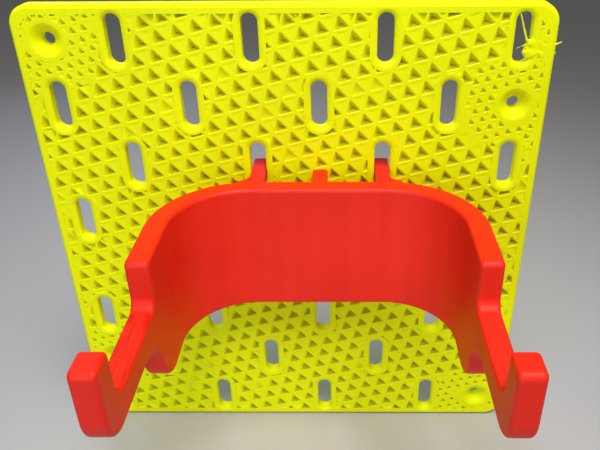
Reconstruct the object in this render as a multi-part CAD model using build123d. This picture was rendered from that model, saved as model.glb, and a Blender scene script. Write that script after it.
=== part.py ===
from build123d import *
import os

# A small pegboard tool wall: a square board full of upright slots, and one tool holder that
# hooks into two of them. Both pieces are 3-D prints.
#
# Millimetres. The origin is the centre of the board's back face, on the wall side.
# +X runs to the right, +Y into the wall and +Z up, so the front of everything is towards -Y.

# --- Board ---------------------------------------------------------------------------------
BOARD_SIDE = 160.0
BOARD_THICKNESS = 5.0
BOARD_CORNER_RADIUS = 6.0
BOARD_FRONT_ROUNDING = 1.2
BOARD_FRONT_Y = -BOARD_THICKNESS

# Upright slots, in eight rows of four. Every other row is set over by half a pitch.
SLOT_WIDTH = 5.0
SLOT_LENGTH = 15.0
SLOT_PITCH = 40.0
SLOT_ROW_STEP = SLOT_PITCH / 2
SLOT_ROWS = 8
SLOTS_PER_ROW = 4
TOP_ROW_Z = 70.0
SLOT_MOUTH_ROUNDING = 1.0

# Countersunk screw holes, each on a place of the grid that has no slot.
SCREW_HOLE_DIAMETER = 4.0
COUNTERSINK_DIAMETER = 8.4
SCREW_HOLES = [(-70.0, 70.0), (-70.0, -50.0), (70.0, 50.0), (70.0, -70.0)]

# --- Holder --------------------------------------------------------------------------------
# The band is a U in plan, open to the front, with one long arm at each end. Seen from the
# side, each arm is an L whose toe turns up and stops a handle from rolling off.
HOLDER_X = 10.0
BAND_OUTER_WIDTH = 97.0
BAND_WALL = 6.4
BAND_OUTER_CORNER = 28.0
BAND_BACK_Y = -13.6
BAND_TOP_Z = 28.5
BAND_BOTTOM_Z = -14.2
BAND_FRONT_Y = -61.7
GUSSET_FRONT_Y = -63.9
FOOT_FRONT_Y = -60.0

ARM_FLOOR_Z = 14.8
ARM_UNDERSIDE_Z = 6.5
TOE_REAR_Y = -95.3
TOE_FRONT_Y = -103.5
TOE_TOP_Z = 28.8

SHOULDER_ROUNDING = 1.6
SHOULDER_FOOT_RADIUS = 2.8
TOE_FOOT_RADIUS = 5.2
TOE_TOP_FRONT_ROUNDING = 1.7
TOE_TOP_REAR_ROUNDING = 1.4
TOE_BOTTOM_ROUNDING = 8.2
ARM_GUSSET_RADIUS = 13.5
FOOT_ROUNDING = 11.5
HOLDER_EDGE_ROUNDING = 1.2
SHARP_EDGE_ANGLE = 10.0

# Two hooks pass through slots of the third row and drop behind the board. Towards the sides each
# one flares into the band. A rib between them, as tall as the band, stands off the board.
HOOK_XS = [-10.0, 30.0]
HOOK_SLOT_Z = 30.0
HOOK_SIDE_PLAY = 0.2
HOOK_REST_GAP = 0.05
HOOK_WIDTH = SLOT_WIDTH - 2 * HOOK_SIDE_PLAY
HOOK_LIP_DROP = 6.5
HOOK_LIP_THICKNESS = 4.2
HOOK_LIP_PLAY = 0.3
HOOK_TOP_ROUNDING = 0.6
HOOK_BACK_ROUNDING = 1.0
HOOK_FLARE_RADIUS = 3.6
RIB_WIDTH = 4.8
RIB_PLAY = 0.3
RIB_END_ROUNDING = 1.4
ROOT_OVERLAP = 2.5


def slot_places():
    """The centre of every slot, as (x, z), row by row from the top."""
    places = []
    for row in range(SLOT_ROWS):
        first_x = -TOP_ROW_Z + SLOT_ROW_STEP * (1 - row % 2)
        for column in range(SLOTS_PER_ROW):
            places.append((first_x + SLOT_PITCH * column, TOP_ROW_Z - SLOT_ROW_STEP * row))
    return places


def make_board():
    """The square plate with its slots and countersunk holes."""
    outline = RectangleRounded(BOARD_SIDE, BOARD_SIDE, BOARD_CORNER_RADIUS)
    for x, z in slot_places():
        outline -= Pos(x, z) * SlotOverall(SLOT_LENGTH, SLOT_WIDTH, rotation=90)
    for x, z in SCREW_HOLES:
        outline -= Pos(x, z) * Circle(SCREW_HOLE_DIAMETER / 2)
    plate = extrude(Plane.XZ * outline, amount=BOARD_THICKNESS)

    def front_edges(solid):
        return solid.edges().filter_by_position(Axis.Y, BOARD_FRONT_Y, BOARD_FRONT_Y)

    def near_screw_hole(edge):
        middle = edge.center(CenterOf.BOUNDING_BOX)
        return any(abs(middle.X - x) + abs(middle.Z - z) < SCREW_HOLE_DIAMETER for x, z in SCREW_HOLES)

    def on_outline(edge):
        middle = edge.center(CenterOf.BOUNDING_BOX)
        return max(abs(middle.X), abs(middle.Z)) > BOARD_SIDE / 2 - BOARD_CORNER_RADIUS

    countersink_depth = (COUNTERSINK_DIAMETER - SCREW_HOLE_DIAMETER) / 2
    plate = chamfer([e for e in front_edges(plate) if near_screw_hole(e)], countersink_depth)
    slot_mouths = [e for e in front_edges(plate) if not near_screw_hole(e) and not on_outline(e)]
    plate = fillet(slot_mouths, SLOT_MOUTH_ROUNDING)
    return fillet([e for e in front_edges(plate) if on_outline(e)], BOARD_FRONT_ROUNDING)


def u_plan(width, back_y, front_y, corner_radius):
    """A rectangle in plan whose two corners towards the board are rounded."""
    block = Pos(HOLDER_X, (back_y + front_y) / 2) * Rectangle(width, back_y - front_y)
    return fillet(block.vertices().sort_by(Axis.Y)[-2:], corner_radius)


def side_profile():
    """The holder's outline from the side, in Y and Z, with a radius at each of its corners."""
    behind_band = BAND_BACK_Y + BAND_WALL
    corners = [
        (behind_band, BAND_TOP_Z, 0),
        (BAND_FRONT_Y, BAND_TOP_Z, SHOULDER_ROUNDING),
        (BAND_FRONT_Y, ARM_FLOOR_Z, SHOULDER_FOOT_RADIUS),
        (TOE_REAR_Y, ARM_FLOOR_Z, TOE_FOOT_RADIUS),
        (TOE_REAR_Y, TOE_TOP_Z, TOE_TOP_REAR_ROUNDING),
        (TOE_FRONT_Y, TOE_TOP_Z, TOE_TOP_FRONT_ROUNDING),
        (TOE_FRONT_Y, ARM_UNDERSIDE_Z, TOE_BOTTOM_ROUNDING),
        (GUSSET_FRONT_Y, ARM_UNDERSIDE_Z, ARM_GUSSET_RADIUS),
        (FOOT_FRONT_Y, BAND_BOTTOM_Z, FOOT_ROUNDING),
        (behind_band, BAND_BOTTOM_Z, 0),
    ]
    points = [(y, z) for y, z, _ in corners]
    radii = [radius for _, _, radius in corners]
    return make_face(Plane.YZ * FilletPolyline(*points, radius=radii, close=True))


def make_band():
    """The U-shaped band with its two arms, every outer edge rounded."""
    band_back_inside_y = BAND_BACK_Y - BAND_WALL
    plan = u_plan(BAND_OUTER_WIDTH, BAND_BACK_Y, TOE_FRONT_Y, BAND_OUTER_CORNER)
    plan -= u_plan(
        BAND_OUTER_WIDTH - 2 * BAND_WALL,
        band_back_inside_y,
        TOE_FRONT_Y - BAND_WALL,
        BAND_OUTER_CORNER - BAND_WALL,
    )
    upright = Pos(0, 0, BAND_BOTTOM_Z) * extrude(plan, amount=TOE_TOP_Z - BAND_BOTTOM_Z)
    sideways = Pos(HOLDER_X - BAND_OUTER_WIDTH, 0, 0) * extrude(side_profile(), amount=2 * BAND_OUTER_WIDTH)
    return upright & sideways


def sharp_edges(solid):
    """The edges where two faces meet at a real corner, without the seams that run smooth."""
    faces_of_edge = {}
    for face in solid.faces():
        for edge in face.edges():
            faces_of_edge.setdefault(edge, []).append(face)
    sharp = []
    for edge, faces in faces_of_edge.items():
        normals = [face.normal_at(edge @ 0.5) for face in faces]
        if len(normals) == 2 and normals[0].get_angle(normals[1]) > SHARP_EDGE_ANGLE:
            sharp.append(edge)
    return sharp


def hook_outline(bottom_z):
    """A hook's outline from behind, in X and Z: square at the top and half round below."""
    radius = HOOK_WIDTH / 2
    straight_bottom_z = bottom_z + radius
    straight_height = BAND_TOP_Z - straight_bottom_z
    outline = Pos(0, straight_bottom_z + straight_height / 2) * Rectangle(HOOK_WIDTH, straight_height)
    outline += Pos(0, straight_bottom_z) * Circle(radius)
    return fillet(outline.vertices().sort_by(Axis.Y)[-2:], HOOK_TOP_ROUNDING)


def make_hook():
    """A hook at x = 0: the neck that lies in the slot and the lip that drops behind the board."""
    lip_back_y = HOOK_LIP_PLAY + HOOK_LIP_THICKNESS
    behind_board = Plane.XZ.offset(-lip_back_y)
    neck_bottom_z = HOOK_SLOT_Z - SLOT_LENGTH / 2 + HOOK_REST_GAP
    neck_length = lip_back_y - BAND_BACK_Y + ROOT_OVERLAP
    neck = extrude(behind_board * hook_outline(neck_bottom_z), amount=neck_length)
    lip = extrude(behind_board * hook_outline(neck_bottom_z - HOOK_LIP_DROP), amount=HOOK_LIP_THICKNESS)
    hook = neck + lip
    return fillet(hook.edges().filter_by_position(Axis.Y, lip_back_y, lip_back_y), HOOK_BACK_ROUNDING)


def make_flare():
    """The curved web on the right of a hook at x = 0, where it grows out of the band."""
    radius = HOOK_FLARE_RADIUS
    neck_bottom_z = HOOK_SLOT_Z - SLOT_LENGTH / 2 + HOOK_REST_GAP
    web = Pos(radius / 2, (radius - ROOT_OVERLAP) / 2) * Rectangle(radius, radius + ROOT_OVERLAP)
    web -= Pos(radius, radius) * Circle(radius)
    web = extrude(web, amount=BAND_TOP_Z - neck_bottom_z)
    return Pos(HOOK_WIDTH / 2, BAND_BACK_Y, neck_bottom_z) * web


def make_rib():
    """The upright rib that keeps the band off the board."""
    length = BOARD_FRONT_Y - RIB_PLAY - BAND_BACK_Y + ROOT_OVERLAP
    plan = Rectangle(RIB_WIDTH, length)
    plan = fillet(plan.vertices().sort_by(Axis.Y)[-2:], RIB_END_ROUNDING)
    root = (HOLDER_X, BAND_BACK_Y - ROOT_OVERLAP + length / 2, BAND_BOTTOM_Z)
    return Pos(*root) * extrude(plan, amount=BAND_TOP_Z - BAND_BOTTOM_Z)


def make_holder():
    """The band, its two hooks and the rib between them, as one print."""
    band = make_band()
    holder = fillet(sharp_edges(band), HOLDER_EDGE_ROUNDING) + make_rib()
    left_x, right_x = HOOK_XS
    for x in HOOK_XS:
        holder += Pos(x, 0, 0) * make_hook()
    holder += Pos(left_x, 0, 0) * mirror(make_flare(), Plane.YZ)
    holder += Pos(right_x, 0, 0) * make_flare()
    return holder


os.makedirs("parts", exist_ok=True)
export_step(make_board(), "parts/slotted_board.step")
export_step(make_holder(), "parts/tool_holder.step")
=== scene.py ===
import functools
import math
import random

import bmesh
import bpy
from mathutils import Matrix, Vector, noise as noise_field


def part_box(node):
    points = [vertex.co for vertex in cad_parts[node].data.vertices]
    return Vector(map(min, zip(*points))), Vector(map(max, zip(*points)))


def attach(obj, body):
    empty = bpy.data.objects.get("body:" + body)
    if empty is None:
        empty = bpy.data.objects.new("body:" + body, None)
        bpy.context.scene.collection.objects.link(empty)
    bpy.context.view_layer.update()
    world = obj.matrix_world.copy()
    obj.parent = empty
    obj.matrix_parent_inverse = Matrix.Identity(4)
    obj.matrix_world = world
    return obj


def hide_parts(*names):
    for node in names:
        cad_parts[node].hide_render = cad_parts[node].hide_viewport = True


# The pegboard tool wall's looks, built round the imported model. Metres, in the model's frame:
# the board's back is the plane y = 0, +X runs to the right, +Y into the wall and +Z up.
MM = 0.001
random.seed(7)

# --- Camera, floor and light ---------------------------------------------------------------
CAMERA_PLACE = Vector((0.01716, -0.20481, 0.12016))
CAMERA_FORWARD = Vector((-0.01127, 0.85856, -0.51259))
CAMERA_RIGHT = Vector((0.99994, 0.00925, -0.00649))
CAMERA_LENS = 40.48
CAMERA_SENSOR = 36.0
CAMERA_SHIFT = (-0.0580, 0.0288)
CAMERA_NEAR = 0.01

FLOOR_SIZE = 4.0
FLOOR_GAP = 0.3 * MM
FLOOR_COLOUR = (0.46, 0.44, 0.42, 1)
FLOOR_ROUGHNESS = 0.6
WORLD_COLOUR = (0.96, 0.98, 1.0, 1)
WORLD_BRIGHTNESS = 0.17
WARM = (1.0, 0.97, 0.92)
COOL = (0.50, 0.68, 1.0)

# Each light has its name, its place, the point it looks at, its size, its power in watts, how far
# it spreads in degrees, its colour, and whether the plastic reflects it.
LIGHTS = [
    ("key", (0.08, -0.22, 0.50), (0, -0.03, 0), 0.35, 0.91, 80, WARM, True),
    ("front_fill", (-0.14, -0.60, 0.08), (0, 0, 0), 0.5, 1.02, 120, COOL, True),
    ("back_fill", (-0.25, 0.5, 0.2), (0, 0, 0), 0.4, 0.4, 60, COOL, False),
]

# --- Board ---------------------------------------------------------------------------------
SLOT_WIDTH = 5 * MM
SLOT_LENGTH = 15 * MM
SLOT_PITCH = 40 * MM
SLOT_ROWS = 8
SLOTS_PER_ROW = 4
TOP_ROW_Z = 70 * MM
SCREW_HOLES = [(-70 * MM, 70 * MM), (-70 * MM, -50 * MM), (70 * MM, 50 * MM), (70 * MM, -70 * MM)]

# Smooth rims that the print leaves round the outline, each slot and each screw hole.
BORDER_RIM = 2.6 * MM
SLOT_RIM = 2.2 * MM
SCREW_RIM_RADIUS = 6.5 * MM
INFILL_CORNER_RADIUS = 6 * MM

# The rims sink a little towards their hole, and the slots widen again behind. Each step is a
# depth from the front or the back and a half width or radius, in millimetres.
SLOT_DISH = [(-0.5, 4.1), (0, 4.1), (0.06, 3.55), (0.22, 3.0), (0.5, 2.7)]
SCREW_DISH = [(-0.5, 5.2), (0, 5.2), (0.08, 4.7), (0.35, 4.05), (0.9, 3.35)]
SLOT_BACK = [(-0.5, 3.6), (0, 3.6), (0.15, 3.2), (0.4, 2.95), (0.8, 2.73), (1.3, 2.58), (1.8, 2.46)]
CIRCLE_STEPS = 48
SLOT_END_STEPS = 16
BORDER_CORNER_STEPS = 10

# The open infill: ridges in three directions make triangles. Those that point up are deep
# three-sided pits, and those that point down are shallow dents.
INFILL_SIDE = 5.86 * MM
INFILL_TURN = math.radians(14.9)
INFILL_CROSSING = Vector((-32.17 * MM, 75.24 * MM))
PIT_DEPTH = 2.3 * MM
DENT_DEPTH = 0.12 * MM
RIDGE_HALF_WIDTH = 0.22 * MM
RIDGE_SHOULDER_SHARE = 0.2
RIDGE_SHOULDER_DEPTH = 0.22 * MM
PIT_CORNER_RADIUS = 0.35 * MM
PIT_CORNER_TURNS = (-60, 0, 60)
PIT_FLOOR_SHARE = 0.14
DENT_LEAN = 0.14

# The rows of triangles run so far from their crossing, and none is kept beyond the limit.
INFILL_REACH = 280 * MM
INFILL_LIMIT = 85 * MM

# Near each screw hole, and beside the top right slot, the infill is finer. A cell is fine where
# its middle is inside such a zone by the margin.
FINE_REACH = 16.5 * MM
FINE_CORNER = (76 * MM, 71 * MM)
FINE_CORNER_REACH = 7.5 * MM
FINE_SIDE = 3.53 * MM
FINE_HALF_RIDGE = 0.31 * MM
FINE_CROSSING = Vector((73.8 * MM, 50.6 * MM))
FINE_PIT_DEPTH = 0.9 * MM
FINE_DENT_DEPTH = 0.08 * MM
FINE_MARGIN = 0.9 * MM

# How uneven the infill is.
INSET_JITTER = 0.07 * MM
CLOGGED_SHARE = 0.04
CLOGGED_DEPTH = 0.3

# How far the cutting tools stand off the board. Edges sharper than the angle stay sharp, and faces
# square to the depth are shaded flat.
CUT_ABOVE = 0.5 * MM
WELD_DISTANCE = 0.001 * MM
SMOOTH_ANGLE = math.radians(32)
FLAT_COSINE = 0.9999

# --- Stray plastic: places and radii in millimetres ----------------------------------------
STRAY_LUMPS = [
    ((71.6, -4.4, 69.0), 0.7),
    ((71.7, -4.3, 68.2), 1.0),
    ((71.5, -4.2, 67.2), 1.1),
    ((71.6, -4.2, 66.0), 1.2),
    ((71.9, -4.3, 64.9), 0.9),
    ((79.5, -4.0, 67.9), 0.65),
    ((79.4, -4.1, 65.6), 0.75),
    ((79.5, -3.2, 64.6), 0.6),
]
STRAY_SMEAR = [
    ((73.4, -4.58, 68.2), 1.9),
    ((73.5, -4.58, 65.8), 2.1),
    ((75.5, -4.56, 67.9), 2.2),
    ((75.7, -4.56, 65.7), 2.1),
    ((77.5, -4.56, 67.6), 2.0),
    ((77.6, -4.56, 65.8), 1.9),
    ((78.7, -4.5, 67.2), 1.2),
]
STRAY_STRANDS = [
    ((71.3, -4.7, 68.9), (69.8, -5.3, 72.6), (68.4, -4.8, 77.0), 0.42),
    ((69.8, -4.2, 77.4), (70.0, -4.6, 75.8), (70.4, -4.8, 73.2), 0.1),
    ((71.4, -4.6, 68.4), (70.0, -5.0, 67.9), (68.3, -4.4, 66.9), 0.22),
    ((79.2, -4.5, 68.0), (80.3, -4.8, 68.3), (81.4, -5.0, 69.1), 0.42),
]
STRAND_STEPS = 14
STRAND_CORNERS = 8
STRAND_TAPER = 0.6
STRAND_UNEVENNESS = 0.2
BLOB_ROUGHNESS = 650
BLOB_BULGE = 0.4
LUMP_FLATNESS = 0.6
SMEAR_FLATNESS = 0.25
STRAY_VOXEL = 0.1 * MM
STRAY_SOFTENING = 16

# --- Finish --------------------------------------------------------------------------------
LAYER_HEIGHT = 0.2 * MM
LINE_WIDTH = 0.44 * MM
BUMP_DEPTH = 0.02 * MM
SPECKLE_SCALE = 900

BOARD_BRIGHT = (0.90, 0.93, 0.0)
BOARD_DEEP = (0.78, 0.80, 0.0)
# Painted shade: the colour the pits darken to with depth, in place of the shade inside them.
BOARD_PAINTED_PIT_SHADE = (0.86, 0.80, 0.0)
# Painted shade: the darker colour given to the pits' walls that face up, in place of the shadow the ridges
# above cast on them.
BOARD_PAINTED_LEDGE_SHADE = (0.44, 0.41, 0.0)
BOARD_SPECULAR = 0.10
BOARD_BLOTCH_SCALE = 28
BOARD_LUMP_SCALE = 260
BOARD_SPECKLE_SHARE = 0.35
BOARD_SHADE_RANGE = (0.35, 1.0)

# Each roughness maps the blotches from the first two values to the last two.
BOARD_ROUGHNESS = (0.3, 0.7, 0.44, 0.56)

# How high each kind of relief stands, in bump depths.
BOARD_RELIEF = {"layers": 0.35, "outlines": 0.35, "raster": 0.8, "lumps": 1.6, "speckle": 0.5}

# Painted shade in the pits: depths below the front where the pits' darker colour begins and is full, and
# how far up a ledge faces.
PIT_SHADE_START = 0.02 * MM
PIT_SHADE_FULL_SHARE = 0.35
LEDGE_SHADE_FULL = 0.32 * MM
LEDGE_SHADE_FACING_RANGE = (0.1, 0.6)

# How far past its own edge each part of the finish still counts.
FRONT_MARGIN = 0.1 * MM
BACK_MARGIN = 0.05 * MM
RIM_MARGIN = 0.01 * MM
SCREW_RIM_MARGIN = 0.05 * MM

HOLDER_BRIGHT = (0.88, 0.023, 0.004)
HOLDER_DEEP = (0.76, 0.013, 0.003)
HOLDER_SCAR = (0.50, 0.006, 0.001)
HOLDER_SPECULAR = 0.26
HOLDER_BLOTCH_SCALE = 35
HOLDER_BAND_SCALE = 160
HOLDER_BAND_STRETCH = (1, 1, 0.03)
HOLDER_BAND_SHARE = 0.6
HOLDER_SHADE_RANGE = (0.5, 1.1)
HOLDER_LAYER_SCALE = 700
HOLDER_LAYER_STRETCH = (0.04, 0.04, 1)
HOLDER_ROUGHNESS = (0.3, 0.7, 0.42, 0.54)
HOLDER_RELIEF = {"layers": 0.3, "uneven_layers": 0.9, "speckle": 0.4, "scars": -7.0}

# Rough streaks on the arms' floors. They are strongest on the left arm.
ARM_FLOOR_ABOVE = 29.0 * MM
SCAR_BAND = 0.5 * MM
SCAR_FROM_TIP = 13 * MM
SCAR_TO_TIP = 39 * MM
SCAR_SCALE = 1700
SCAR_DETAIL = 3.0
SCAR_STRETCH = (1, 0.05, 1)
SCAR_RANGE = (0.5, 0.68)
SCAR_LEFT = 1.0
SCAR_RIGHT = 0.25
ARM_FLOOR_ROUGHER = 0.2


def make_camera():
    """The camera, at the picture's viewing angle."""
    data = bpy.data.cameras.new("picture_camera")
    data.lens = CAMERA_LENS
    data.sensor_width = CAMERA_SENSOR
    data.shift_x, data.shift_y = CAMERA_SHIFT
    data.clip_start = CAMERA_NEAR
    camera = bpy.data.objects.new("picture_camera", data)
    forward = CAMERA_FORWARD.normalized()
    right = (CAMERA_RIGHT - forward * CAMERA_RIGHT.dot(forward)).normalized()
    up = right.cross(forward)
    turn = Matrix((right, up, -forward)).transposed()
    camera.matrix_world = Matrix.Translation(CAMERA_PLACE) @ turn.to_4x4()
    bpy.context.scene.collection.objects.link(camera)
    bpy.context.scene.camera = camera


def make_floor(z):
    """A plain pale floor that the board stands on."""
    bpy.ops.mesh.primitive_plane_add(size=FLOOR_SIZE, location=(0, 0, z))
    floor = bpy.context.object
    floor.name = "floor"
    material = bpy.data.materials.new("pale_floor")
    material.use_nodes = True
    shader = material.node_tree.nodes["Principled BSDF"]
    shader.inputs["Base Color"].default_value = FLOOR_COLOUR
    shader.inputs["Roughness"].default_value = FLOOR_ROUGHNESS
    floor.data.materials.append(material)


def make_light(name, place, aim, size, watts, spread, colour, shines):
    """A soft square area light that looks at a point, with or without a reflection."""
    data = bpy.data.lights.new(name, "AREA")
    data.color = colour
    data.shape = "SQUARE"
    data.size = size
    data.energy = watts
    data.spread = math.radians(spread)
    light = bpy.data.objects.new(name, data)
    light.location = place
    light.visible_glossy = shines
    light.rotation_euler = (Vector(aim) - Vector(place)).to_track_quat("-Z", "Y").to_euler()
    bpy.context.scene.collection.objects.link(light)


def make_world():
    """Even light from all round."""
    world = bpy.data.worlds.new("studio")
    world.use_nodes = True
    background = world.node_tree.nodes["Background"]
    background.inputs["Color"].default_value = WORLD_COLOUR
    background.inputs["Strength"].default_value = WORLD_BRIGHTNESS
    bpy.context.scene.world = world


# --- The board's mesh ----------------------------------------------------------------------
def slot_places():
    """The centre of every slot, as (x, z), row by row from the top."""
    places = []
    for row in range(SLOT_ROWS):
        first_x = -TOP_ROW_Z + SLOT_PITCH / 2 * (1 - row % 2)
        for column in range(SLOTS_PER_ROW):
            places.append((first_x + SLOT_PITCH * column, TOP_ROW_Z - SLOT_PITCH / 2 * row))
    return places


def direction(angle):
    """A unit step in X and Z."""
    return Vector((math.cos(angle), math.sin(angle)))


def arc(centre, radius, start, end, steps):
    """Points along an arc, in X and Z, with the angles in degrees."""
    angles = [math.radians(start + (end - start) * step / steps) for step in range(steps + 1)]
    return [Vector(centre) + direction(angle) * radius for angle in angles]


def circle(centre, radius):
    """A whole circle, without its first point again at the end."""
    return arc(centre, radius, 0, 360, CIRCLE_STEPS)[:-1]


def stadium(centre, half_width, half_length):
    """An upright slot's outline."""
    x, z = centre
    rise = half_length - half_width
    upper = arc((x, z + rise), half_width, 0, 180, SLOT_END_STEPS)
    lower = arc((x, z - rise), half_width, 180, 360, SLOT_END_STEPS)
    return upper + lower


def slot_ring(centre, half_width):
    """An outline round a slot, of any half width, that keeps the slot's straight length."""
    return stadium(centre, half_width, half_width + (SLOT_LENGTH - SLOT_WIDTH) / 2)


def rounded_square(half_side, radius):
    """A square's outline about the middle, with rounded corners."""
    inner = half_side - radius
    corners = [(inner, inner), (-inner, inner), (-inner, -inner), (inner, -inner)]
    outline = []
    for index, corner in enumerate(corners):
        outline += arc(corner, radius, 90 * index, 90 * index + 90, BORDER_CORNER_STEPS)
    return outline


def add_skin(mesh, rings):
    """A closed solid through rings of points, all with the same number of points."""
    loops = [[mesh.verts.new(point) for point in ring] for ring in rings]
    mesh.faces.new(loops[0])
    mesh.faces.new(reversed(loops[-1]))
    for near, far in zip(loops, loops[1:]):
        for index in range(len(near)):
            following = (index + 1) % len(near)
            mesh.faces.new((near[following], near[index], far[index], far[following]))


def add_loft(mesh, levels):
    """A closed solid through levels, each one a depth y and an outline in X and Z."""
    add_skin(mesh, [[(x, y, z) for x, z in outline] for y, outline in levels])


def new_object(name, mesh):
    """Makes an object of a bmesh, with its faces turned outwards."""
    bmesh.ops.recalc_face_normals(mesh, faces=mesh.faces)
    data = bpy.data.meshes.new(name)
    mesh.to_mesh(data)
    mesh.free()
    thing = bpy.data.objects.new(name, data)
    bpy.context.scene.collection.objects.link(thing)
    return thing


def prisms(name, outlines, front_y, back_y):
    """One object with a straight prism for each outline, from front_y to back_y."""
    mesh = bmesh.new()
    for outline in outlines:
        add_loft(mesh, [(front_y, outline), (back_y, outline)])
    return new_object(name, mesh)


def apply_modifiers(thing):
    """Makes the object's mesh what its modifiers show, and removes them."""
    evaluated = thing.evaluated_get(bpy.context.evaluated_depsgraph_get())
    result = bpy.data.meshes.new_from_object(evaluated)
    thing.modifiers.clear()
    thing.data = result


def combine(target, tool, operation):
    """Applies one Boolean step to target and removes the tool."""
    modifier = target.modifiers.new("combine", "BOOLEAN")
    modifier.operation = operation
    modifier.solver = "MANIFOLD"
    modifier.object = tool
    apply_modifiers(target)
    bpy.data.objects.remove(tool)


def rounded_triangle(centre, inner_radius, corner_radius, corner_angle):
    """A triangle's outline by its inner radius, with one corner towards the angle."""
    points = []
    for corner in range(3):
        towards = corner_angle + corner * math.tau / 3
        middle = centre + direction(towards) * 2 * (inner_radius - corner_radius)
        for turn in PIT_CORNER_TURNS:
            points.append(middle + direction(towards + math.radians(turn)) * corner_radius)
    return points


def add_pit(mesh, centre, lean, side, corner_angle, half_ridge, depth, front_y):
    """A pit or dent that narrows to a small floor, which leans away from the triangle's middle.

    Now and then one is clogged, and shallower than the rest.
    """
    triangle_radius = side / math.sqrt(12)
    mouth = triangle_radius - half_ridge - random.uniform(-1, 1) * INSET_JITTER
    if random.random() < CLOGGED_SHARE:
        depth *= CLOGGED_DEPTH
    shoulder = mouth * (1 - RIDGE_SHOULDER_SHARE)
    shoulder_depth = min(RIDGE_SHOULDER_DEPTH, depth / 4)
    floor = shoulder * PIT_FLOOR_SHARE
    levels = [
        (front_y - CUT_ABOVE, mouth, centre),
        (front_y, mouth, centre),
        (front_y + shoulder_depth, shoulder, centre),
        (front_y + depth, floor, centre + lean),
    ]
    corner_share = PIT_CORNER_RADIUS / triangle_radius
    add_loft(
        mesh,
        [(y, rounded_triangle(middle, r, r * corner_share, corner_angle)) for y, r, middle in levels],
    )


def infill_cells(name, crossing, side, half_ridge, pit_depth, dent_depth, front_y, wanted):
    """The pits and dents of a triangular infill, wherever wanted says so of a triangle's middle."""
    along = direction(INFILL_TURN) * side
    down = direction(INFILL_TURN - math.tau / 6) * side
    reach = math.ceil(INFILL_REACH / side)
    pit_turn = INFILL_TURN + math.pi / 2
    dent_lean = direction(pit_turn) * side * DENT_LEAN
    mesh = bmesh.new()
    for i in range(-reach, reach):
        for j in range(-reach, reach):
            corner = crossing + along * i + down * j
            if max(abs(corner.x), abs(corner.y)) > INFILL_LIMIT:
                continue
            pit = corner + (2 * down - along) / 3
            dent = corner + (along + down) / 3
            if wanted(pit):
                add_pit(mesh, pit, Vector((0, 0)), side, pit_turn, half_ridge, pit_depth, front_y)
            if wanted(dent):
                add_pit(mesh, dent, dent_lean, side, pit_turn + math.pi, half_ridge, dent_depth, front_y)
    return new_object(name, mesh)


def inside_fine_zone(place, margin):
    """Whether a place is inside the finer infill by the margin."""
    zones = [(screw, FINE_REACH) for screw in SCREW_HOLES] + [(FINE_CORNER, FINE_CORNER_REACH)]
    return any((place - Vector(middle)).length < reach - margin for middle, reach in zones)


def trim_infill(infill, front_y, half_side, kept_clear):
    """Cuts an infill back to the inside of the border, and away from each list of outlines."""
    near_y = front_y - 2 * CUT_ABOVE
    far_y = front_y + PIT_DEPTH + CUT_ABOVE
    inside = rounded_square(half_side - BORDER_RIM, INFILL_CORNER_RADIUS)
    combine(infill, prisms("inside", [inside], near_y, far_y), "INTERSECT")
    for outlines in kept_clear:
        tool = prisms("kept_clear", outlines, near_y - CUT_ABOVE, far_y + CUT_ABOVE)
        combine(infill, tool, "DIFFERENCE")


def make_board_print(cad_board, front_y, half_side):
    """The board with its open infill cut into the front."""
    mesh = bmesh.new()
    mesh.from_mesh(cad_board.data)
    bmesh.ops.remove_doubles(mesh, verts=mesh.verts, dist=WELD_DISTANCE)
    board = new_object("board_print", mesh)
    slots = [slot_ring(place, SLOT_WIDTH / 2 + SLOT_RIM) for place in slot_places()]
    screws = [circle(place, SCREW_RIM_RADIUS) for place in SCREW_HOLES]

    coarse = infill_cells(
        "coarse", INFILL_CROSSING, INFILL_SIDE, RIDGE_HALF_WIDTH, PIT_DEPTH, DENT_DEPTH, front_y,
        lambda middle: not inside_fine_zone(middle, 0),
    )
    trim_infill(coarse, front_y, half_side, [slots])

    fine = infill_cells(
        "fine", FINE_CROSSING, FINE_SIDE, FINE_HALF_RIDGE, FINE_PIT_DEPTH, FINE_DENT_DEPTH, front_y,
        lambda middle: inside_fine_zone(middle, FINE_MARGIN),
    )
    trim_infill(fine, front_y, half_side, [slots, screws])

    dishes = bmesh.new()
    for place in slot_places():
        add_loft(dishes, [(front_y + depth * MM, slot_ring(place, half * MM)) for depth, half in SLOT_DISH])
        add_loft(dishes, [(-depth * MM, slot_ring(place, half * MM)) for depth, half in SLOT_BACK])
    for place in SCREW_HOLES:
        steps = [(front_y + depth * MM, circle(place, radius * MM)) for depth, radius in SCREW_DISH]
        add_loft(dishes, steps)
    combine(board, new_object("dishes", dishes), "DIFFERENCE")
    combine(board, coarse, "DIFFERENCE")
    combine(board, fine, "DIFFERENCE")
    board.data.set_sharp_from_angle(angle=SMOOTH_ANGLE)
    for face in board.data.polygons:
        face.use_smooth = abs(face.normal.y) < FLAT_COSINE
    return board


# --- Stray plastic -------------------------------------------------------------------------
def add_strand(mesh, start, bend, end, radius):
    """A thin strand of stray plastic that bows towards bend and tapers to its end."""
    start, bend, end = (Vector(point) * MM for point in (start, bend, end))
    rings = []
    for step in range(STRAND_STEPS + 1):
        t = step / STRAND_STEPS
        place = start * (1 - t) ** 2 + bend * 2 * t * (1 - t) + end * t ** 2
        along = (bend - start) * (1 - t) + (end - bend) * t
        side = along.orthogonal().normalized()
        other = along.cross(side).normalized()
        unevenness = random.uniform(1 - STRAND_UNEVENNESS, 1 + STRAND_UNEVENNESS)
        width = radius * MM * (1 - STRAND_TAPER * t) * unevenness
        turns = [math.tau * corner / STRAND_CORNERS for corner in range(STRAND_CORNERS)]
        rings.append([place + (side * math.cos(turn) + other * math.sin(turn)) * width for turn in turns])
    add_skin(mesh, rings)


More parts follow.
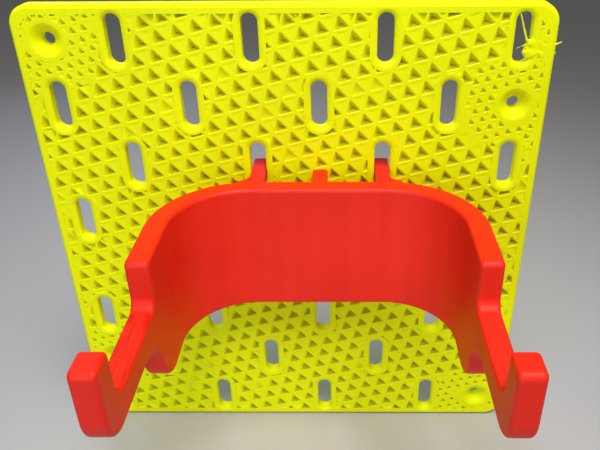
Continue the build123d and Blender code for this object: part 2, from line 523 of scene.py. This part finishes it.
def add_blob(mesh, place, radius, flatness):
    """A small uneven lump, flattened towards the board."""
    centre = Vector(place) * MM
    made = bmesh.ops.create_icosphere(mesh, subdivisions=3, radius=radius * MM)
    for vertex in made["verts"]:
        bulge = noise_field.noise((vertex.co + centre) * BLOB_ROUGHNESS)
        vertex.co *= 1 + BLOB_BULGE * bulge
        vertex.co.y *= flatness
        vertex.co += centre


def make_stray_plastic():
    """The lumps, smear and strands that the print head left on the top right slot and the edge."""
    mesh = bmesh.new()
    for place, radius in STRAY_LUMPS:
        add_blob(mesh, place, radius, LUMP_FLATNESS)
    for place, radius in STRAY_SMEAR:
        add_blob(mesh, place, radius, SMEAR_FLATNESS)
    for start, bend, end, radius in STRAY_STRANDS:
        add_strand(mesh, start, bend, end, radius)
    stray = new_object("stray_plastic", mesh)
    modifier = stray.modifiers.new("weld", "REMESH")
    modifier.mode = "VOXEL"
    modifier.voxel_size = STRAY_VOXEL
    softened = stray.modifiers.new("soften", "SMOOTH")
    softened.iterations = STRAY_SOFTENING
    apply_modifiers(stray)
    stray.data.shade_smooth()
    return stray


# --- Materials -----------------------------------------------------------------------------
def node(tree, kind, **settings):
    """A new node. A setting is an attribute, or an input's value or the socket to link to it."""
    made = tree.nodes.new("ShaderNode" + kind)
    for name, value in settings.items():
        if hasattr(made, name):
            setattr(made, name, value)
            continue
        socket = made.inputs[name.replace("_", " ")]
        if isinstance(value, bpy.types.NodeSocket):
            tree.links.new(value, socket)
        else:
            socket.default_value = value
    return made


def maths(tree, operation, *values):
    """A Math node's result, from numbers or sockets."""
    made = node(tree, "Math", operation=operation)
    for socket, value in zip(made.inputs, values):
        if isinstance(value, bpy.types.NodeSocket):
            tree.links.new(value, socket)
        else:
            socket.default_value = value
    return made.outputs[0]


def total(tree, first, *others):
    """The sum of numbers or sockets."""
    for other in others:
        first = maths(tree, "ADD", first, other)
    return first


def product(tree, first, *others):
    """All the numbers or sockets multiplied."""
    for other in others:
        first = maths(tree, "MULTIPLY", first, other)
    return first


def stripes(tree, distance, pitch):
    """Rounded ridges, from -1 to 1, each one pitch from the next."""
    return maths(tree, "SINE", maths(tree, "MULTIPLY", distance, math.tau / pitch))


def within(tree, value, low, high):
    """1 where the value lies between low and high, and 0 elsewhere."""
    above = maths(tree, "GREATER_THAN", value, low)
    return maths(tree, "MULTIPLY", above, maths(tree, "LESS_THAN", value, high))


def noise(tree, place, scale, detail=2.0, stretch=(1, 1, 1)):
    """Soft noise about 0.5. Stretch scales the place before it."""
    mapping = node(tree, "Mapping", Vector=place, Scale=stretch)
    texture = node(tree, "TexNoise", Vector=mapping.outputs[0], Scale=scale, Detail=detail)
    return texture.outputs["Fac"]


def blend_colours(tree, amount, first, second):
    """A colour that runs from the first to the second as the amount runs from 0 to 1."""
    mix = node(tree, "Mix", data_type="RGBA")
    tree.links.new(amount, mix.inputs[0])
    for socket, colour in ((mix.inputs[6], first), (mix.inputs[7], second)):
        if isinstance(colour, bpy.types.NodeSocket):
            tree.links.new(colour, socket)
        else:
            socket.default_value = (*colour, 1)
    return mix.outputs[2]


def ramp(tree, value, low, high, to_low=0.0, to_high=1.0):
    """Maps low to high onto to_low to to_high, and holds the ends."""
    made = node(tree, "MapRange", Value=value, From_Min=low, From_Max=high, To_Min=to_low, To_Max=to_high)
    return made.outputs[0]


def new_plastic(name, specular):
    """A plastic, with its node tree, its shader, its place and that place's X, Y and Z."""
    material = bpy.data.materials.new(name)
    material.use_nodes = True
    tree = material.node_tree
    shader = tree.nodes["Principled BSDF"]
    shader.inputs["Specular IOR Level"].default_value = specular
    place = node(tree, "TexCoord").outputs["Object"]
    axes = node(tree, "SeparateXYZ", Vector=place).outputs
    return material, tree, shader, place, axes


def finish_plastic(tree, shader, colour, roughness, height, depth):
    """Links a plastic's colour, roughness and bump."""
    bump = node(tree, "Bump", Strength=1.0, Distance=depth, Height=height)
    tree.links.new(colour, shader.inputs["Base Color"])
    tree.links.new(roughness, shader.inputs["Roughness"])
    tree.links.new(bump.outputs[0], shader.inputs["Normal"])


def lattice_slot_distance(tree, axes, first_x, first_z):
    """The distance from the middle line of the nearest slot of one square lattice."""
    half = SLOT_PITCH / 2
    across = maths(tree, "WRAP", maths(tree, "SUBTRACT", axes[0], first_x), half, -half)
    along = maths(tree, "WRAP", maths(tree, "SUBTRACT", axes[2], first_z), half, -half)
    straight = (SLOT_LENGTH - SLOT_WIDTH) / 2
    beyond = maths(tree, "MAXIMUM", maths(tree, "SUBTRACT", maths(tree, "ABSOLUTE", along), straight), 0)
    return length_of(tree, across, beyond)


def length_of(tree, first, second):
    """The length of a step that is made of two at a right angle."""
    squares = maths(tree, "ADD", product(tree, first, first), product(tree, second, second))
    return maths(tree, "SQRT", squares)


def rim_distances(tree, axes):
    """How far a point is from the middle line of a slot, from a screw hole and from the board's middle."""
    upper = lattice_slot_distance(tree, axes, -TOP_ROW_Z + SLOT_PITCH / 2, TOP_ROW_Z)
    lower = lattice_slot_distance(tree, axes, -TOP_ROW_Z, TOP_ROW_Z - SLOT_PITCH / 2)
    slot = maths(tree, "MINIMUM", upper, lower)
    screws = [
        length_of(tree, maths(tree, "SUBTRACT", axes[0], x), maths(tree, "SUBTRACT", axes[2], z))
        for x, z in SCREW_HOLES
    ]
    screw = functools.reduce(lambda first, second: maths(tree, "MINIMUM", first, second), screws)
    out = maths(tree, "MAXIMUM", maths(tree, "ABSOLUTE", axes[0]), maths(tree, "ABSOLUTE", axes[2]))
    return slot, screw, out


def rim_lines(tree, slot, screw, out, half_side):
    """The print's outlines: fine grooves that follow the slots, the screw holes and the border."""
    return total(
        tree,
        product(tree, stripes(tree, slot, LINE_WIDTH), within(tree, slot, 0, SLOT_WIDTH / 2 + SLOT_RIM)),
        product(tree, stripes(tree, screw, LINE_WIDTH), within(tree, screw, 0, SCREW_RIM_RADIUS)),
        product(tree, stripes(tree, out, LINE_WIDTH), within(tree, out, half_side - BORDER_RIM, half_side)),
    )


def on_infill(tree, slot, screw, out, half_side):
    """1 on the infill, and 0 on the rims and in the slots and holes."""
    return product(
        tree,
        maths(tree, "GREATER_THAN", slot, SLOT_WIDTH / 2 + SLOT_RIM - RIM_MARGIN),
        maths(tree, "GREATER_THAN", screw, SCREW_RIM_RADIUS - SCREW_RIM_MARGIN),
        maths(tree, "LESS_THAN", out, half_side - BORDER_RIM + RIM_MARGIN),
    )


def make_board_plastic(front_y, half_side):
    """Yellow print: layer lines down its sides and pits, outlines in front, raster lines behind, and
    painted shade in the pits.
    """
    material, tree, shader, place, axes = new_plastic("board_plastic", BOARD_SPECULAR)
    distances = rim_distances(tree, axes)
    blotches = noise(tree, place, BOARD_BLOTCH_SCALE)
    speckle = noise(tree, place, SPECKLE_SCALE)
    lumps = noise(tree, place, BOARD_LUMP_SCALE)
    mottle = total(tree, blotches, product(tree, speckle, BOARD_SPECKLE_SHARE))
    colour = blend_colours(tree, ramp(tree, mottle, *BOARD_SHADE_RANGE), BOARD_DEEP, BOARD_BRIGHT)

    # Painted shade: the pits' walls are painted a little darker and warmer with depth, and those that face
    # up darker still.
    painted_shade_start = front_y + PIT_SHADE_START
    above_floors = maths(tree, "LESS_THAN", axes[1], front_y + PIT_DEPTH + FRONT_MARGIN)
    in_pits = product(tree, above_floors, on_infill(tree, *distances, half_side))
    # Painted shade: darker towards the floor of each pit.
    painted_pit_shade = ramp(tree, axes[1], painted_shade_start, front_y + PIT_DEPTH * PIT_SHADE_FULL_SHARE)
    colour = blend_colours(tree, product(tree, painted_pit_shade, in_pits), colour, BOARD_PAINTED_PIT_SHADE)
    normal = node(tree, "TexCoord").outputs["Normal"]
    facing_up = node(tree, "SeparateXYZ", Vector=normal).outputs[2]
    # Painted shade on the pit walls that face up, by depth and by how far up they face.
    painted_ledge_shade = product(
        tree,
        ramp(tree, axes[1], painted_shade_start, front_y + LEDGE_SHADE_FULL),
        in_pits,
        ramp(tree, facing_up, *LEDGE_SHADE_FACING_RANGE),
    )
    colour = blend_colours(tree, painted_ledge_shade, colour, BOARD_PAINTED_LEDGE_SHADE)

    on_front = maths(tree, "LESS_THAN", axes[1], front_y + FRONT_MARGIN)
    on_back = maths(tree, "GREATER_THAN", axes[1], -BACK_MARGIN)
    slanting = maths(tree, "ADD", axes[0], axes[2])
    raster = stripes(tree, slanting, LINE_WIDTH * math.sqrt(2))
    layers = stripes(tree, axes[1], LAYER_HEIGHT)
    height = total(
        tree,
        product(tree, layers, BOARD_RELIEF["layers"]),
        product(tree, rim_lines(tree, *distances, half_side), on_front, BOARD_RELIEF["outlines"]),
        product(tree, raster, on_back, BOARD_RELIEF["raster"]),
        product(tree, lumps, BOARD_RELIEF["lumps"]),
        product(tree, speckle, BOARD_RELIEF["speckle"]),
    )
    roughness = ramp(tree, blotches, *BOARD_ROUGHNESS)
    finish_plastic(tree, shader, colour, roughness, height, BUMP_DEPTH)
    return material


def make_holder_plastic(low, high):
    """Red print: level layer lines, faint upright bands, and rough streaks on the arms' floors."""
    material, tree, shader, place, axes = new_plastic("holder_plastic", HOLDER_SPECULAR)
    blotches = noise(tree, place, HOLDER_BLOTCH_SCALE)
    bands = noise(tree, place, HOLDER_BAND_SCALE, stretch=HOLDER_BAND_STRETCH)
    speckle = noise(tree, place, SPECKLE_SCALE)
    layers = stripes(tree, axes[2], LAYER_HEIGHT)
    uneven_layers = noise(tree, place, HOLDER_LAYER_SCALE, stretch=HOLDER_LAYER_STRETCH)
    mottle = total(tree, blotches, product(tree, bands, HOLDER_BAND_SHARE))
    colour = blend_colours(tree, ramp(tree, mottle, *HOLDER_SHADE_RANGE), HOLDER_DEEP, HOLDER_BRIGHT)

    floor_z = low[2] + ARM_FLOOR_ABOVE
    at_floor = within(tree, axes[2], floor_z - SCAR_BAND, floor_z + SCAR_BAND)
    along_arm = within(tree, axes[1], low[1] + SCAR_FROM_TIP, low[1] + SCAR_TO_TIP)
    arm_floor = product(tree, at_floor, along_arm)
    strength = ramp(tree, axes[0], low[0], high[0], SCAR_LEFT, SCAR_RIGHT)
    streaks = ramp(tree, noise(tree, place, SCAR_SCALE, SCAR_DETAIL, SCAR_STRETCH), *SCAR_RANGE)
    scars = product(tree, streaks, arm_floor, strength)
    colour = blend_colours(tree, scars, colour, HOLDER_SCAR)
    height = total(
        tree,
        product(tree, layers, HOLDER_RELIEF["layers"]),
        product(tree, uneven_layers, HOLDER_RELIEF["uneven_layers"]),
        product(tree, speckle, HOLDER_RELIEF["speckle"]),
        product(tree, scars, HOLDER_RELIEF["scars"]),
    )
    rougher = product(tree, arm_floor, ARM_FLOOR_ROUGHER)
    roughness = total(tree, ramp(tree, blotches, *HOLDER_ROUGHNESS), rougher)
    finish_plastic(tree, shader, colour, roughness, height, BUMP_DEPTH)
    return material


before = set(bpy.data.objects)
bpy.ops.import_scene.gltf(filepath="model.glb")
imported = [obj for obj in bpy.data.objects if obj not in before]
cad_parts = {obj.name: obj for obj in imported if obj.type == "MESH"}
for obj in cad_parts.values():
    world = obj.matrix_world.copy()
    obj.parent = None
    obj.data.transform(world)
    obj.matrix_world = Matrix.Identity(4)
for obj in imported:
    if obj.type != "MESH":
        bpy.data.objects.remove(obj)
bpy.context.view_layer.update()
board_low, board_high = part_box("slotted_board")
bpy.context.scene.view_settings.view_transform = "Standard"
make_camera()
make_floor(board_low[2] - FLOOR_GAP)
make_world()
for light in LIGHTS:
    make_light(*light)

board = make_board_print(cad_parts["slotted_board"], board_low[1], board_high[0])
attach(board, "board")
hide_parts("slotted_board")
board.data.materials.clear()
board.data.materials.append(make_board_plastic(board_low[1], board_high[0]))

stray = make_stray_plastic()
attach(stray, "board")
stray.data.materials.append(board.data.materials[0])

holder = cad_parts["tool_holder"]
holder_material = make_holder_plastic(*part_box("tool_holder"))
for slot in holder.material_slots:
    slot.material = holder_material
